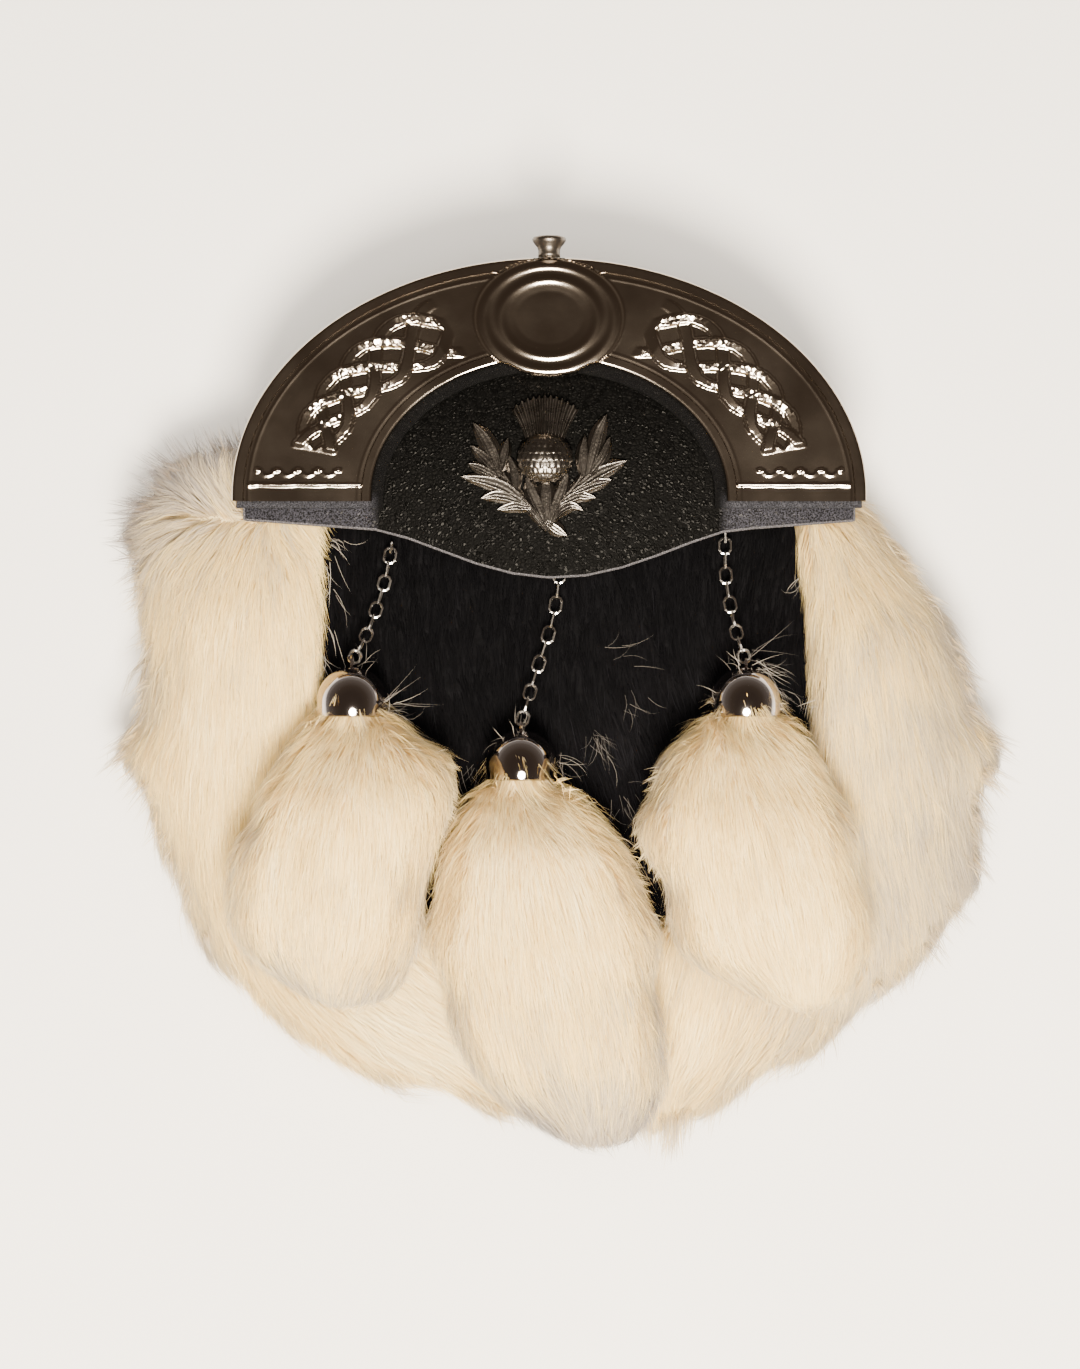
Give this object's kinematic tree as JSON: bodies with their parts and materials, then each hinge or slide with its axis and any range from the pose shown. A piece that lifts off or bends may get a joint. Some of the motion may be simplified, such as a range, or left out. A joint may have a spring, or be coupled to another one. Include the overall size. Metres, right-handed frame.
{
  "type": "full dress sporran pouch",
  "caption": "Round fur-covered belt pouch lying on its back: half-moon metal cantle, leather flap with a thistle badge, and fur tassels on fine chains under bell caps.",
  "frame": {"origin": "middle of the belt loop's resting face, under the middle of the cantle's base line", "axes": "+Z out of the pouch's front, +Y towards the cantle's top, +X to the right seen from the front"},
  "size_m": [0.2218, 0.2215, 0.0689],
  "materials": {
    "white_fur": "long cream rabbit fur",
    "black_fur": "short glossy black hair on the hide",
    "black_leather": "black pebble-grained leather",
    "cast_metal": "polished plated casting",
    "nickel": "worn nickel",
    "chrome": "polished"
  },
  "bodies": {
    "root": {"belt_loop": "black_leather", "back_panel": "black_leather", "fur_surround": "white_fur", "front_panel": "black_fur", "flap": "black_leather", "cantle_backing": "black_leather", "cantle": "cast_metal", "cantle_knob": "nickel", "thistle_badge": "nickel", "chain_staple_left": "nickel", "chain_staple_middle": "nickel", "chain_staple_right": "nickel", "chain_left": "chrome", "chain_middle": "chrome", "chain_right": "chrome", "tassel_cap_left": "chrome", "tassel_cap_middle": "chrome", "tassel_cap_right": "chrome", "tassel_left": "white_fur", "tassel_middle": "white_fur", "tassel_right": "white_fur"}
  },
  "joints": []
}
